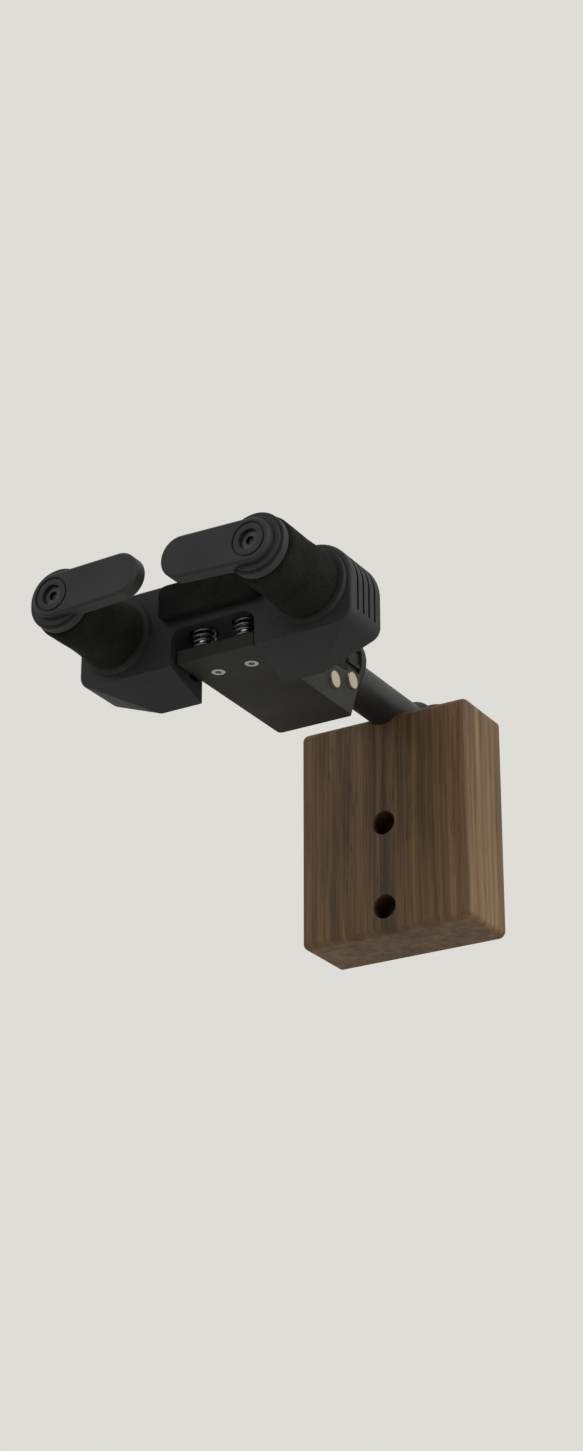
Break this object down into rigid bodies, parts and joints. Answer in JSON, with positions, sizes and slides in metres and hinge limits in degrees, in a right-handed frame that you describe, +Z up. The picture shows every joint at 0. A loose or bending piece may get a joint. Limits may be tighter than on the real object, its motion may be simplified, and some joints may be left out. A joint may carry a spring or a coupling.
{
  "type": "wall guitar hanger",
  "caption": "Wall hanger for a guitar: wooden base, short round arm, swivelling yoke with foam-covered arms and gates that close when it is loaded.",
  "frame": {"origin": "midway between the two wall screw holes, on the wall plane", "axes": "+Z up, +X to the right seen from the front, -Y out from the wall"},
  "size_m": [0.09, 0.1519, 0.0858],
  "materials": {
    "walnut": "oiled, satin",
    "black_steel": "black powder coat",
    "zinc_steel": "zinc plated",
    "nickel_rivets": "nickel plated",
    "bright_steel": "ground",
    "spring_steel": "oiled spring steel",
    "bronze": "sintered, oiled",
    "nylon": "natural nylon",
    "holder_plastic": "fine textured black",
    "yoke_plastic": "fine textured black",
    "finger_plastic": "fine textured black",
    "collar_rubber": "matt rubber",
    "black_foam": "closed-cell foam, rough",
    "black_screw": "black oxide"
  },
  "bodies": {
    "wall_mount": {"wood_base": "walnut", "back_plate": "black_steel", "plate_screws": "zinc_steel", "support_arm": "black_steel", "thrust_washer": "nylon", "plain_washer": "zinc_steel", "lock_nut": "zinc_steel"},
    "swivel": {"swivel_holder_left": "holder_plastic", "swivel_holder_right": "holder_plastic", "swivel_bushing": "bronze", "holder_rivets": "nickel_rivets", "guide_pins": "bright_steel", "return_springs": "spring_steel", "rack_crossbar": "zinc_steel", "rack_screws": "zinc_steel", "left_rack": "bright_steel", "right_rack": "bright_steel"},
    "yoke": {"yoke_front_shell": "yoke_plastic", "yoke_rear_cover": "yoke_plastic", "cover_screws": "zinc_steel", "slide_block": "nylon", "guide_bushings": "bronze", "rod_bushings": "nylon", "neck_pad": "black_foam", "left_arm_tube": "black_steel", "left_foam_collar": "collar_rubber", "left_foam_sleeve": "black_foam", "right_arm_tube": "black_steel", "right_foam_collar": "collar_rubber", "right_foam_sleeve": "black_foam"},
    "left_gate": {"left_gate_finger": "finger_plastic", "left_gate_rod": "bright_steel", "left_gate_pinion": "nylon", "left_rod_clip": "spring_steel", "left_cap_screw": "black_screw"},
    "right_gate": {"right_gate_finger": "finger_plastic", "right_gate_rod": "bright_steel", "right_gate_pinion": "nylon", "right_rod_clip": "spring_steel", "right_cap_screw": "black_screw"}
  },
  "joints": [
    {"name": "yoke_swivel", "type": "hinge", "parent": "wall_mount", "child": "swivel", "pos_m": [0, -0.0575, 0.0526], "axis": [0, 1, 0], "range_deg": [-25, 25]},
    {"name": "yoke_drop", "type": "slide", "parent": "swivel", "child": "yoke", "axis": [0, 0, 1], "range_m": [0, 0.00471], "stiffness_N_per_m": 600, "springref_m": 0.0125, "deforming": ["return_springs"]},
    {"name": "left_gate_turn", "type": "hinge", "parent": "yoke", "child": "left_gate", "pos_m": [-0.032, -0.125, 0.0428], "axis": [0, -1, 0], "range_deg": [0, 90.5]},
    {"name": "right_gate_turn", "type": "hinge", "parent": "yoke", "child": "right_gate", "pos_m": [0.032, -0.125, 0.0428], "axis": [0, 1, 0], "range_deg": [0, 90.5]}
  ],
  "couplings": [
    {"joint": "left_gate_turn", "follows": "yoke_drop", "rad_per_m": 333.33},
    {"joint": "right_gate_turn", "follows": "yoke_drop", "rad_per_m": 333.33}
  ]
}
